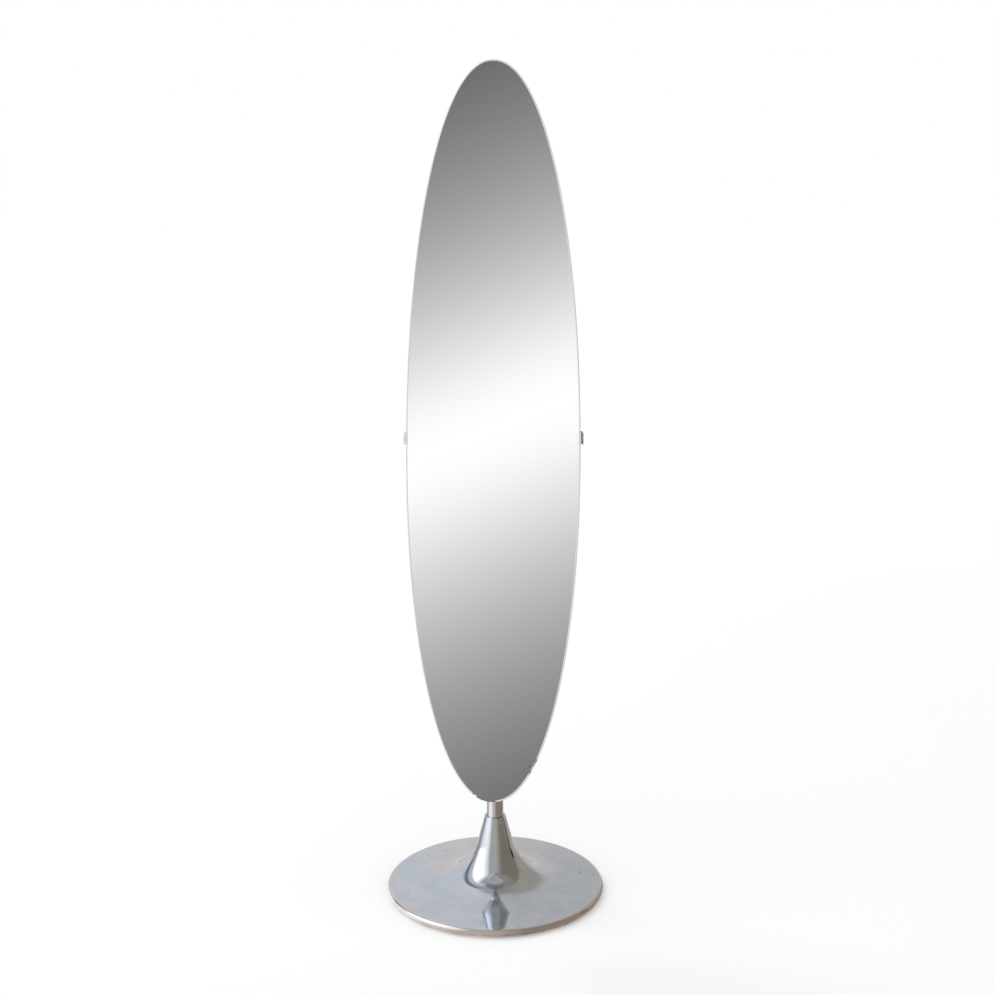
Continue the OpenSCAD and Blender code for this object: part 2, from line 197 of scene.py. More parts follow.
def oval_rings(profile):
    """Rings along the mirror's outline, one for each (depth, inset) of the profile."""
    turns = [math.tau * i / OVAL_POINTS for i in range(OVAL_POINTS)]
    outline = [oval_point(t) for t in turns]
    rings = []
    for depth, inset in profile:
        ring = []
        for i, point in enumerate(outline):
            along = (outline[(i + 1) % OVAL_POINTS] - outline[i - 1]).normalized()
            inner = point + inset * Vector((-along.y, along.x))
            ring.append((inner.x, depth, inner.y + OVAL_CENTRE))
        rings.append(ring)
    return rings


def skin(rings, closed=False, capped=False):
    """A mesh through rings of equally many points. closed joins the last ring to the first."""
    bm = bmesh.new()
    loops = [[bm.verts.new(point) for point in ring] for ring in rings]
    for a, b in zip(loops, loops[1:] + loops[:1] if closed else loops[1:]):
        for i in range(len(a)):
            bm.faces.new((a[i - 1], a[i], b[i], b[i - 1]))
    if capped:
        bm.faces.new(loops[0])
        bm.faces.new(loops[-1])
    bmesh.ops.remove_doubles(bm, verts=bm.verts, dist=SKIN_WELD)
    bmesh.ops.recalc_face_normals(bm, faces=bm.faces)
    return bm


def mesh_from(name, bm):
    """The mesh of a bmesh, which is used up."""
    mesh = bpy.data.meshes.new(name)
    bm.to_mesh(mesh)
    bm.free()
    return mesh


def placed(name, data, place=Matrix()):
    """A new object in the scene, at its place."""
    thing = bpy.data.objects.new(name, data)
    bpy.context.scene.collection.objects.link(thing)
    thing.matrix_world = place
    return thing


def add_piece(name, bm, materials, body, nodes, place=Matrix(), bevel=0):
    """Adds a piece that rides on a body and stands for CAD nodes, its edges rounded off by the bevel."""
    mesh = mesh_from(name, bm)
    for material in materials:
        mesh.materials.append(material)
    mesh.shade_smooth()
    mesh.set_sharp_from_angle(angle=SHARP_ANGLE)
    piece = placed(name, mesh, place)
    if bevel:
        edges = piece.modifiers.new("edges", "BEVEL")
        edges.width = bevel
        edges.segments = ROUNDED_STEPS
        edges.angle_limit = ROUNDED_ANGLE
        edges.harden_normals = True
    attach(piece, body)
    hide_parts(*nodes)


def add_refined(name, node, material, body, place, bevel):
    """Adds a CAD node's solid again with its edges rounded off."""
    bm = bmesh.new()
    bm.from_mesh(frame["nodes"][node].data)
    bm.transform(place.inverted())
    bmesh.ops.remove_doubles(bm, verts=bm.verts, dist=SOLID_WELD)
    bmesh.ops.dissolve_limit(bm, angle_limit=FLAT_ANGLE, verts=bm.verts, edges=bm.edges)
    for face in bm.faces:
        face.material_index = 0
    add_piece(name, bm, [material], body, [node], place, bevel)


# Materials

class Finish:
    """A Principled material fed by procedural nodes in the piece's own coordinates."""

    def __init__(self, name, metallic=0.0):
        self.material = bpy.data.materials.new(name)
        self.material.use_nodes = True
        self.tree = self.material.node_tree
        self.shader = self.tree.nodes["Principled BSDF"]
        self.shader.inputs["Metallic"].default_value = metallic
        self.place = self.add("ShaderNodeTexCoord").outputs["Object"]

    def add(self, kind, inputs=(), **settings):
        """A node whose inputs are numbers, colours or other nodes' outputs."""
        node = self.tree.nodes.new(kind)
        for key, value in settings.items():
            setattr(node, key, value)
        for key, value in dict(inputs).items():
            self.put(node.inputs[key], value)
        return node

    def put(self, socket, value):
        """Links an output to a socket, or sets the socket to a number or colour."""
        if isinstance(value, bpy.types.NodeSocket):
            self.tree.links.new(value, socket)
        else:
            socket.default_value = value

    def math(self, operation, *values):
        """A Math node's result."""
        return self.add("ShaderNodeMath", enumerate(values), operation=operation).outputs[0]

    def axes(self, vector):
        """The X, Y and Z of a vector, by name."""
        return self.add("ShaderNodeSeparateXYZ", {0: vector}).outputs

    def length(self, vector):
        """The length of a vector."""
        return self.add("ShaderNodeVectorMath", {0: vector}, operation="LENGTH").outputs["Value"]

    def noise(self, size, detail=3.0, shift=0.0, turn=(0, 0, 0)):
        """Noise from 0 to 1 whose features have the given size along each axis, in mm."""
        where = self.add("ShaderNodeMapping", {
            "Vector": self.place,
            "Location": (shift, shift, shift),
            "Rotation": turn,
            "Scale": [1 / (length * MM) for length in size],
        }).outputs[0]
        noise = self.add("ShaderNodeTexNoise", {"Vector": where, "Scale": 1.0, "Detail": detail})
        return noise.outputs["Fac"]

    def patches(self, size, low, high, detail=3.0, shift=0.0, turn=(0, 0, 0)):
        """Patches of a size in mm: 0 where their noise is below low and 1 where it is above high."""
        return self.spread(self.noise(size, detail, shift, turn), low, high)

    def spread(self, value, low, high, to_low=0.0, to_high=1.0):
        """Spreads a value between low and high smoothly over another range."""
        ends = {0: value, 1: low, 2: high, 3: to_low, 4: to_high}
        return self.add("ShaderNodeMapRange", ends, interpolation_type="SMOOTHSTEP").outputs[0]

    def mix(self, share, first, second):
        """A colour between two colours."""
        node = self.add("ShaderNodeMix", {0: share}, data_type="RGBA")
        self.put(node.inputs[6], first)
        self.put(node.inputs[7], second)
        return node.outputs[2]

    def over(self, colour, share, strength, tint):
        """The colour with a tint of some strength laid over it where share is 1."""
        return self.mix(self.math("MULTIPLY", share, strength), colour, tint)

    def ramp(self, value, stops):
        """A colour that follows a value from 0 to 1 through (position, colour) stops."""
        node = self.add("ShaderNodeValToRGB", {0: value})
        elements = node.color_ramp.elements
        while len(elements) < len(stops):
            elements.new(0.5)
        for element, (position, colour) in zip(elements, stops):
            element.position = position
            element.color = colour
        return node.outputs[0]

    def near(self, point, inner, outer, stretch=(1, 1, 1)):
        """1 within the inner distance of a point, 0 past the outer one. stretch lengthens the mark."""
        gap = self.add("ShaderNodeVectorMath", {0: self.place, 1: point}, operation="SUBTRACT").outputs[0]
        gap = self.add("ShaderNodeVectorMath", {0: gap, 1: stretch}, operation="DIVIDE").outputs[0]
        return self.spread(self.length(gap), inner, outer, 1.0, 0.0)

    def lines(self, length, width, turn, shift, thin=0.012):
        """Thin broken lines, as of scratches, along one direction. They are wider where thin is larger."""
        wander = self.math("SUBTRACT", self.noise((length, width, width), 1.0, shift, turn), 0.5)
        line = self.spread(self.math("ABSOLUTE", wander), 0.0, thin, 1.0, 0.0)
        return self.math("MULTIPLY", line, self.patches((40, 40, 40), 0.5, 0.62, 1.0, shift + 7, turn))

    def bump(self, height, distance):
        """Raises the surface by the distance where height is 1. Bumps add up."""
        normal = self.shader.inputs["Normal"]
        node = self.add("ShaderNodeBump", {"Height": height, "Distance": distance})
        if normal.is_linked:
            self.put(node.inputs["Normal"], normal.links[0].from_socket)
        self.put(normal, node.outputs[0])

    def finish(self, colour, roughness):
        """Sets the colour and roughness, and gives the material."""
        self.put(self.shader.inputs["Base Color"], colour)
        self.put(self.shader.inputs["Roughness"], roughness)
        return self.material


def rgb(red, green, blue):
    """A colour with full alpha."""
    return (red, green, blue, 1.0)


def foot_chrome():
    """Clouded, finely scratched chrome, nicked on the right, browned by rust at the rolled edge, with a painted
    warm reflection in a pale band there.
    """
    f = Finish("foot_chrome", 1.0)
    clouds = f.patches((70, 70, 70), 0.35, 0.65, 4.0)
    tint = f.patches((42, 42, 42), 0.40, 0.60, 3.0, 8)
    colour = f.mix(clouds, rgb(0.58, 0.60, 0.64), rgb(0.63, 0.65, 0.68))
    colour = f.mix(0.6, colour, f.mix(tint, rgb(0.56, 0.61, 0.67), rgb(0.65, 0.64, 0.68)))

    stains = f.patches((24, 24, 24), 0.42, 0.72, 5.0, 5)
    scratches = f.math("MAXIMUM", f.lines(60, 3, (0, 0, 0.4), 1), f.lines(45, 2, (0, 0, 2.1), 9))
    scuffed = f.near(FOOT_SCUFF, 18 * MM, 34 * MM)
    scuffs = f.math("MULTIPLY", scuffed, f.lines(22, 2.2, (0, 0, 0), 6, 0.05))
    nick_and_glint = f.near(FOOT_NICK, 1.0 * MM, 2.2 * MM, (1, 3, 1))
    colour = f.over(colour, stains, 0.5, rgb(0.55, 0.57, 0.58))
    colour = f.over(colour, scratches, 0.35, rgb(0.70, 0.71, 0.73))
    colour = f.over(colour, scuffs, 0.9, rgb(0.36, 0.37, 0.40))
    colour = f.over(colour, nick_and_glint, 0.85, rgb(0.14, 0.14, 0.15))

    axes = f.axes(f.place)
    height = axes["Z"]
    from_axis = f.length(f.add("ShaderNodeCombineXYZ", {"X": axes["X"], "Y": axes["Y"]}).outputs[0])
    # A pale warm band round the rolled edge, its inner border ragged: a painted reflection of warm light.
    ragged = f.spread(f.noise((35, 35, 35), 4.0, 15), 0.3, 0.7, -5 * MM, 3 * MM)
    warm_edge_sheen = f.spread(f.math("ADD", from_axis, ragged), FOOT_R - 12 * MM, FOOT_R - 5 * MM)
    low = f.spread(height, 4 * MM, 9 * MM, 1.0, 0.0)
    rust = f.math("MULTIPLY", low, f.patches((30, 30, 6), 0.42, 0.66, 6.0, 11))
    spots = f.patches((5, 5, 5), 0.42, 0.60, 4.0, 13)
    film = f.math("MULTIPLY", f.near(TRUMPET_FILM, 4 * MM, 12 * MM), spots)
    colour = f.over(colour, warm_edge_sheen, 0.65, rgb(0.70, 0.63, 0.58))
    colour = f.over(colour, rust, 0.6, rgb(0.17, 0.11, 0.08))
    colour = f.over(colour, film, 0.8, rgb(0.42, 0.33, 0.27))

    trumpet = f.spread(height, 45 * MM, 100 * MM)
    f.bump(f.math("MULTIPLY", trumpet, f.noise((6, 6, 70), 3.0, 7)), 0.16 * MM)
    f.bump(f.noise((26, 26, 26), 2.0, 3), 0.10 * MM)
    f.bump(f.noise((1.2, 1.2, 1.2), 2.0), 0.004 * MM)
    f.bump(scratches, 0.01 * MM)
    clean = f.spread(height, 22 * MM, 34 * MM, 0.92, 1.0)
    f.put(f.shader.inputs["Metallic"], f.math("SUBTRACT", clean, f.math("MULTIPLY", film, 0.5)))
    stained = f.spread(stains, 0.0, 1.0, 0.07, 0.15)
    return f.finish(colour, f.math("ADD", stained, f.math("MULTIPLY", rust, 0.3)))


def clear_chrome(name, tint):
    """Polished chrome with a faint haze and hairlines, not finished yet, and its haze and colour."""
    f = Finish(name, 1.0)
    haze = f.patches((30, 30, 60), 0.35, 0.7, 4.0)
    hazy = (0.82 * channel for channel in tint)
    colour = f.over(rgb(*tint), haze, 0.4, rgb(*hazy))
    f.bump(f.noise((30, 30, 30), 2.0), 0.04 * MM)
    f.bump(f.lines(50, 1.2, (0, 1.4, 0.3), 4), 0.006 * MM)
    return f, haze, colour


def pole_chrome():
    """The pole's polished chrome."""
    f, haze, colour = clear_chrome("pole_chrome", (0.64, 0.65, 0.67))
    return f.finish(colour, f.spread(haze, 0.0, 1.0, 0.06, 0.12))


def yoke_chrome():
    """The bar's chrome, painted pale and hardly metallic at its left end as a painted highlight, and darker at its
    right end.
    """
    f, haze, colour = clear_chrome("yoke_chrome", (0.62, 0.63, 0.65))
    pivot = Vector(TILT["pos_m"])
    # The left end is painted pale and made hardly metallic: a painted highlight. The right end is painted darker.
    painted_highlight_end = f.near(pivot - BAR_END, 14 * MM, 28 * MM)
    darkened_right_end = f.near(pivot + BAR_END, 14 * MM, 28 * MM)
    colour = f.mix(painted_highlight_end, colour, rgb(0.95, 0.95, 0.94))
    colour = f.over(colour, darkened_right_end, 0.5, rgb(0.38, 0.38, 0.37))
    f.put(f.shader.inputs["Metallic"], f.spread(painted_highlight_end, 0.0, 1.0, 1.0, 0.10))
    return f.finish(colour, f.spread(haze, 0.0, 1.0, 0.09, 0.18))


def rim_chrome():
    """The rim's chrome: pale on its face as a painted highlight, with a painted dark reflection and a painted
    glint below, rusty chips low right.
    """
    f = Finish("rim_chrome")
    depth = f.axes(f.place)["Y"]
    face = f.spread(depth, RIM_LOW.y + 0.3 * MM, RIM_LOW.y + 1.5 * MM, 1.0, 0.0)
    ragged = f.math("ADD", depth, f.math("MULTIPLY", f.noise((9, 9, 16), 4.0, 9), 5 * MM))
    side = f.spread(ragged, RIM_LOW.y + 4 * MM, RIM_LOW.y + 9 * MM)
    dull_patches = f.patches((12, 12, 40), 0.35, 0.7, 4.0)
    # The rim is painted pale and kept less metallic, as a painted highlight, save on its side band, which is
    # darker chrome; dull patches vary both.
    colour = f.mix(dull_patches, rgb(0.91, 0.91, 0.90), rgb(0.84, 0.84, 0.83))
    colour = f.mix(side, colour, f.mix(dull_patches, rgb(0.70, 0.71, 0.72), rgb(0.62, 0.63, 0.64)))

    pits = f.patches((3.5, 3.5, 6), 0.66, 0.72, 4.0, 2)
    # At the rim's lowest point a dark patch is a painted dark reflection, and a small pale spot beside it is a
    # painted glint.
    painted_dark_reflection = f.math("MULTIPLY", face, f.near(RIM_DARK_REFLECTION, 19 * MM, 25 * MM))
    nick_and_glint = f.near(RIM_GLINT, 2 * MM, 4 * MM)
    chipped = f.math("MULTIPLY", face, f.near(RIM_CHIPS, 14 * MM, 18 * MM))
    chips = f.patches((4, 20, 9), 0.45, 0.52, 2.0, 3, (0, 0.42, 0))
    colour = f.over(colour, pits, 0.4, rgb(0.42, 0.36, 0.30))
    colour = f.over(colour, painted_dark_reflection, 0.9, rgb(0.13, 0.12, 0.12))
    colour = f.mix(nick_and_glint, colour, rgb(0.95, 0.95, 0.94))
    colour = f.over(colour, chipped, chips, rgb(0.34, 0.31, 0.24))
    f.bump(pits, -0.02 * MM)
    f.put(f.shader.inputs["Metallic"], f.spread(side, 0.0, 1.0, 0.35, 0.60))
    return f.finish(colour, f.spread(dull_patches, 0.0, 1.0, 0.16, 0.30))


def silvered_glass():
    """Silvered glass with a few dark specks where the silvering has gone, low on the right."""
    f = Finish("silvered_glass", 1.0)
    lost = f.near(LOST_SILVER, 2 * MM, 5 * MM)
    specks = f.patches((1.8, 1.8, 3), 0.48, 0.60, 2.0, 4)
    colour = f.over(rgb(0.93, 0.935, 0.93), lost, specks, rgb(0.30, 0.28, 0.31))
    return f.finish(colour, 0.0)


def glass_edge():
    """The ground edge of the glass."""
    f = Finish("glass_edge")
    grain = f.noise((1.5, 1.5, 1.5), 4.0)
    colour = f.mix(grain, rgb(0.10, 0.17, 0.14), rgb(0.22, 0.30, 0.26))
    f.bump(grain, 0.02 * MM)
    return f.finish(colour, 0.35)


def fibreboard():
    """Hardboard painted a dull grey-green and rubbed bare in places, with painted light making it paler at its
    lower end.
    """
    f = Finish("fibreboard")
    mottle = f.noise((25, 25, 25), 5.0)
    rubbed = f.patches((60, 60, 60), 0.60, 0.70, 6.0, 4)
    colour = f.mix(f.spread(mottle, 0.3, 0.7), rgb(0.24, 0.265, 0.25), rgb(0.29, 0.31, 0.29))
    colour = f.over(colour, rubbed, 0.5, rgb(0.30, 0.22, 0.15))

    # The lower end is painted pale with a ragged border: painted light, as from the floor below.
    ragged = f.math("MULTIPLY", f.noise((60, 60, 90), 4.0, 12), 80 * MM)
    lit_lower_end = f.spread(f.math("ADD", f.axes(f.place)["Z"], ragged), *LIT_BOARD_HEIGHTS, 1.0, 0.0)
    fibres = f.math("MAXIMUM", f.lines(7, 0.9, (0, 0.4, 0), 3, 0.05),
                    f.lines(6, 0.8, (0, 2.0, 0), 8, 0.05))
    colour = f.mix(lit_lower_end, colour, rgb(0.65, 0.65, 0.62))
    colour = f.over(colour, fibres, 0.35, rgb(0.44, 0.43, 0.38))
    f.bump(f.noise((0.9, 0.9, 0.9), 3.0), 0.05 * MM)
    f.bump(fibres, 0.03 * MM)
    return f.finish(colour, f.spread(mottle, 0.3, 0.7, 0.5, 0.7))


def worked_metal(name, dark, light, roughness, size, depth):
    """Plain metal with a grain of some size along each axis, in mm, and of some depth."""
    f = Finish(name, 1.0)
    grain = f.noise(size, 4.0)
    clouds = f.noise((20, 20, 20), 3.0, 6)
    colour = f.mix(f.math("MULTIPLY", f.math("ADD", grain, clouds), 0.5), rgb(*dark), rgb(*light))
    f.bump(grain, depth)
    return f.finish(colour, f.spread(clouds, 0.3, 0.7, roughness, 1.5 * roughness))


def soft_plastic(name, dark, light, roughness):
    """Nylon or rubber with a fine moulded grain."""
    f = Finish(name)
    grain = f.noise((0.8, 0.8, 0.8), 3.0)
    colour = f.mix(f.noise((12, 12, 12), 3.0), rgb(*dark), rgb(*light))
    f.bump(grain, 0.02 * MM)
    return f.finish(colour, f.spread(grain, 0.3, 0.7, roughness, 1.3 * roughness))


def felt(name, dark, light):
    """Pressed felt with short, tangled hairs."""
    f = Finish(name)
    hairs = f.math("MAXIMUM", f.lines(4, 0.4, (0, 0, 0.5), 2, 0.08),
                   f.lines(5, 0.4, (0, 0.6, 1.9), 6, 0.08))
    tuft = f.noise((2.5, 2.5, 2.5), 5.0)
    colour = f.mix(f.math("MAXIMUM", hairs, tuft), rgb(*dark), rgb(*light))
    f.bump(tuft, 0.3 * MM)
    f.bump(hairs, 0.1 * MM)
    f.shader.inputs["Sheen Weight"].default_value = 0.3
    return f.finish(colour, 0.95)


MATERIALS = {
    "chrome_foot": foot_chrome(),
    "chrome_pole": pole_chrome(),
    "chrome_yoke": yoke_chrome(),
    "chrome_rim": rim_chrome(),
    "mirror_glass": silvered_glass(),
    "fibreboard": fibreboard(),
    "cast_iron": worked_metal(
        "cast_iron", (0.05, 0.05, 0.05), (0.14, 0.14, 0.14), 0.5, (3, 3, 3), 0.2 * MM),
    "plate_steel": worked_metal(
        "plate_steel", (0.30, 0.30, 0.31), (0.50, 0.50, 0.51), 0.3, (40, 1, 1), 0.01 * MM),
    "zinc_screws": worked_metal(
        "zinc", (0.50, 0.49, 0.45), (0.70, 0.69, 0.66), 0.25, (2, 2, 2), 0.01 * MM),
    "turned_steel": worked_metal(
        "turned_steel", (0.40, 0.40, 0.41), (0.58, 0.58, 0.59), 0.25, (1, 1, 8), 0.01 * MM),
    "spring_steel": worked_metal(
        "spring_steel", (0.28, 0.28, 0.30), (0.45, 0.45, 0.47), 0.25, (10, 1, 1), 0.01 * MM),
    "pivot_steel": worked_metal(
        "pivot_steel", (0.45, 0.45, 0.46), (0.62, 0.62, 0.63), 0.2, (1, 4, 4), 0.01 * MM),
    "white_nylon": soft_plastic("white_nylon", (0.74, 0.72, 0.64), (0.84, 0.82, 0.75), 0.4),
    "black_nylon": soft_plastic("black_nylon", (0.012, 0.012, 0.012), (0.03, 0.03, 0.03), 0.35),
    "black_rubber": soft_plastic("black_rubber", (0.015, 0.015, 0.015), (0.035, 0.035, 0.035), 0.6),
    "felt": felt("felt", (0.02, 0.02, 0.02), (0.07, 0.07, 0.07)),
    "packing": felt("packing", (0.16, 0.15, 0.13), (0.26, 0.25, 0.22)),
}


# Pieces

def leaning(degrees):
    """The unit vector that leans outwards from upright by an angle."""
    return Vector((math.sin(math.radians(degrees)), math.cos(math.radians(degrees))))


def shell_side(depth):
    """The shell's outer face from the trumpet's top to its rolled edge, moved inwards by the depth."""
    cone, joint, disc = leaning(90 - TRUMPET_SLOPE), leaning(SKIRT_SLOPE), leaning(DISC_SLOPE)
    edge = EDGE_CENTRE + EDGE_R * disc
    run = SKIRT_R * (disc - joint) + FLARE_R * (joint - cone)
    straight = cone.dot(edge + run - TRUMPET_TOP) / math.cos(math.radians(TRUMPET_SLOPE + DISC_SLOPE))
    skirt_centre = edge + straight * Vector((-disc.y, disc.x)) + SKIRT_R * disc
    flare_centre = skirt_centre - (SKIRT_R - FLARE_R) * joint
    top = TRUMPET_TOP + Vector((depth * (cone.y - 1) / cone.x, -depth))
    flare = arc(flare_centre, FLARE_R + depth, 180 + TRUMPET_SLOPE, 270 - SKIRT_SLOPE, steps=48)
    skirt = arc(skirt_centre, SKIRT_R + depth, 270 - SKIRT_SLOPE, 270 - DISC_SLOPE, steps=24)
    rolled = arc(EDGE_CENTRE, EDGE_R - depth, 90 - DISC_SLOPE, -90, steps=24)
    return [top] + flare + skirt[1:] + rolled


def add_foot():
    """The spun shell, its mouth and lip rounded off."""
    outer = [(p.x, p.y, 0.0) for p in shell_side(0)]
    inner = [(p.x, p.y, 0.0) for p in reversed(shell_side(SHELL_WALL))]
    outer[0] = (*TRUMPET_TOP, 0.5 * MM)
    mouth = [(SHELL_HOLE_R, FOOT_HIGH.z - SHELL_WALL, 0.2 * MM), (SHELL_HOLE_R, FOOT_HIGH.z, 0.6 * MM)]
    lip = [(LIP_INNER_R, FOOT_LOW.z, 0.4 * MM), (LIP_INNER_R, FOOT_LOW.z + SHELL_WALL, 0.4 * MM)]
    profile = held(rounded(mouth + outer + lip + inner))
    shell = skin(turned(profile, FOOT_SEGMENTS), closed=True)
    add_piece("foot_shell_spun", shell, [MATERIALS["chrome_foot"]], "foot", ["foot_shell"])


def add_pole():
    """The tube with its deburred ends, and the domed cap above it, with its spigot in the bore."""
    tube = rounded([
        (POLE_BORE_R, POLE_FOOT, POLE_ROUNDING),
        (POLE_R, POLE_FOOT, POLE_ROUNDING),
        (POLE_R, POLE_TOP, POLE_ROUNDING),
        (POLE_BORE_R, POLE_TOP, POLE_ROUNDING),
    ])
    pole = skin(turned(held(tube)), closed=True)
    add_piece("pole_tube_drawn", pole, [MATERIALS["chrome_pole"]], "mast", ["pole_tube"])
    dome_r = (POLE_R ** 2 + CAP_RISE ** 2) / (2 * CAP_RISE)
    reach = math.degrees(math.asin(POLE_R / dome_r))
    dome = arc(Vector((0, POLE_TOP + CAP_RISE - dome_r)), dome_r, 90, 90 - reach * DOME_SHARE, steps=16)
    skirt = [
        Vector((POLE_R, POLE_TOP + CAP_EDGE)),
        Vector((POLE_R - CAP_CHAMFER, POLE_TOP)),
        Vector((SPIGOT_R, POLE_TOP)),
        Vector((SPIGOT_R, SPIGOT_FOOT)),
        Vector((0, SPIGOT_FOOT)),
    ]
    cap = skin(turned(dome + skirt))
    add_piece("pole_cap_domed", cap, [MATERIALS["chrome_pole"]], "mast", ["pole_cap"])


def add_mirror():
    """The rim with its rolled lip, and the glass in it, silvered on its front and ground at its edge."""
    front, back = RIM_LOW.y, RIM_HIGH.y
    rim = rounded([
        (front, 0, 1.6 * MM),
        (back, 0, 0.4 * MM),
        (back, RIM_WALL, 0.4 * MM),
        (GLASS_LOW.y, RIM_WALL, 0),
        (GLASS_LOW.y, RIM_LIP, 0.3 * MM),
        (front, RIM_LIP, 0.8 * MM),
    ])
    add_piece("mirror_rim_rolled", skin(oval_rings(rim), closed=True), [MATERIALS["chrome_rim"]],
              "mirror", ["mirror_rim"], MIRROR_FRAME)
    pane = skin(oval_rings([
        (GLASS_LOW.y, GLASS_INSET + GLASS_CHAMFER),
        (GLASS_LOW.y + GLASS_CHAMFER, GLASS_INSET),
        (GLASS_HIGH.y - GLASS_CHAMFER, GLASS_INSET),
        (GLASS_HIGH.y, GLASS_INSET + GLASS_CHAMFER),
    ]), capped=True)
    for face in pane.faces:
        looks_forward = face.normal.y < -0.9
        face.material_index = 0 if looks_forward else 1
    add_piece("mirror_glass_silvered", pane, [MATERIALS["mirror_glass"], glass_edge()],
              "mirror", ["mirror_glass"], MIRROR_FRAME)


def add_refined_pieces():
    """The bar, saddle, bolts, washers, board, clips and screws, with their edges rounded off."""
    for node, slot, body, bevel in [
        ("yoke_bar", "chrome_yoke", "mast", 1.3 * MM),
        ("yoke_saddle", "chrome_yoke", "mast", 1.2 * MM),
        ("yoke_bolts", "zinc_screws", "mast", 0.4 * MM),
        ("yoke_washers", "zinc_screws", "mast", 0.2 * MM),
        ("backing_board", "fibreboard", "mirror", 0.8 * MM),
        ("retaining_clips", "spring_steel", "mirror", 0.3 * MM),
        ("clip_screws", "zinc_screws", "mirror", 0.4 * MM),
        ("pivot_clip_left", "chrome_rim", "mirror", 0.3 * MM),
        ("pivot_clip_right", "chrome_rim", "mirror", 0.3 * MM),
        ("pivot_screw_left", "pivot_steel", "mirror", 0.2 * MM),
        ("pivot_screw_right", "pivot_steel", "mirror", 0.2 * MM),
    ]:
        place = MIRROR_FRAME if body == "mirror" else Matrix()
        add_refined(node + "_finished", node, MATERIALS[slot], body, place, bevel)


def paint_nodes():
    """Gives every CAD node that stays its procedural material."""
    for part in frame["record"]["subparts"]:
        for material_slot in frame["nodes"][part["node"]].material_slots:
            material_slot.material = MATERIALS[part["material_slot"]]


# Camera, daylight, floor and lamp

CAMERA_DISTANCE = 2.848
CAMERA_HEIGHT = 1.3637
CAMERA_AZIMUTH = math.radians(1.304)
CAMERA_PITCH = math.radians(9)
CAMERA_ROLL = math.radians(-0.22)
CAMERA_LENS = 56.06
CAMERA_SENSOR = 36.0
CAMERA_SHIFT = (0.00335, -0.0723)

# Light that falls on the object, where 1 shows a colour as it is written
DAYLIGHT = 0.86
KEY_PLACE = Vector((-2.2, 1.6, 3.4))
KEY_AIM = Vector((0, 0, 0.3))
KEY_SIZE = 1.6
KEY_POWER = 26

# The floor, and its own light that keeps it white where it shows: two distances and the strengths there
FLOOR_R = 40
FLOOR_FILL_RANGE = (1.0, 6.0)
FLOOR_FILL = (0.14, 0.25)


def add_camera():
    """The photograph's camera, which looks slightly down on the mirror."""
    lens = bpy.data.cameras.new("camera")
    lens.lens = CAMERA_LENS
    lens.sensor_width = CAMERA_SENSOR
    lens.shift_x, lens.shift_y = CAMERA_SHIFT
    place = (
        Matrix.Rotation(CAMERA_AZIMUTH, 4, "Z")
        @ Matrix.Translation((0, -CAMERA_DISTANCE, CAMERA_HEIGHT))
        @ Matrix.Rotation(math.pi / 2 - CAMERA_PITCH, 4, "X")
        @ Matrix.Rotation(CAMERA_ROLL, 4, "Z")
    )
    camera = placed("camera", lens, place)
    bpy.context.scene.camera = camera
    return camera


def shown_rays(tree):
    """1 for the rays that show the background: those of the camera, of gloss and of glass."""
    rays = tree.nodes.new("ShaderNodeLightPath").outputs
    total = rays["Is Camera Ray"]
    for name in ("Is Glossy Ray", "Is Transmission Ray"):
        largest = tree.nodes.new("ShaderNodeMath")
        largest.operation = "MAXIMUM"
        tree.links.new(total, largest.inputs[0])
        tree.links.new(rays[name], largest.inputs[1])
        total = largest.outputs[0]
    return total


def add_world():
    """Plain, even daylight that shows as white."""
    world = bpy.data.worlds.new("studio")
    world.use_nodes = True
    bpy.context.scene.world = world
    tree = world.node_tree
    strength = tree.nodes.new("ShaderNodeMapRange")
    strength.inputs["To Min"].default_value = DAYLIGHT
    strength.inputs["To Max"].default_value = 1.0
    tree.links.new(shown_rays(tree), strength.inputs["Value"])
    background = tree.nodes["Background"]
    background.inputs["Color"].default_value = rgb(1, 1, 1)
    tree.links.new(strength.outputs[0], background.inputs["Strength"])


def add_floor():
    """A pale floor that keeps the object's shadow and otherwise shows as white."""
    f = Finish("floor")
    fill = f.spread(f.length(f.place), *FLOOR_FILL_RANGE, *FLOOR_FILL)
    f.put(f.shader.inputs["Emission Color"], rgb(1, 1, 1))
    f.put(f.shader.inputs["Emission Strength"], f.math("MULTIPLY", shown_rays(f.tree), fill))
    f.put(f.shader.inputs["Specular IOR Level"], 0.0)
    colour = f.mix(f.noise((900, 900, 900)), rgb(0.895, 0.895, 0.895), rgb(0.905, 0.905, 0.905))
    bm = bmesh.new()
    bmesh.ops.create_circle(bm, cap_ends=True, segments=64, radius=FLOOR_R)
    mesh = mesh_from("floor", bm)
    mesh.materials.append(f.finish(colour, 1.0))
    placed("floor", mesh)


def add_key_lamp():
    """A large soft lamp that points at the object and doesn't show in the metal."""
    light = bpy.data.lights.new("key", "AREA")
    light.shape = "DISK"
    light.size = KEY_SIZE
    light.energy = KEY_POWER
    facing = (KEY_AIM - KEY_PLACE).to_track_quat("-Z", "Y").to_matrix().to_4x4()
    lamp = placed("key", light, Matrix.Translation(KEY_PLACE) @ facing)
    lamp.visible_glossy = False


# What the metal and the glass reflect

def add_card(name, bm, place, glow):
    """A glowing surface that shows in the metal and the glass alone. glow gives its material its light."""
    f = Finish(name)
    f.put(f.shader.inputs["Specular IOR Level"], 0.0)
    f.put(f.shader.inputs["Emission Strength"], 1.0)
    material = f.finish(rgb(0, 0, 0), 1.0)
    glow(f)
    mesh = mesh_from(name, bm)
    mesh.materials.append(material)
    card = placed(name, mesh, place)
    card.visible_camera = card.visible_diffuse = card.visible_transmission = card.visible_shadow = False


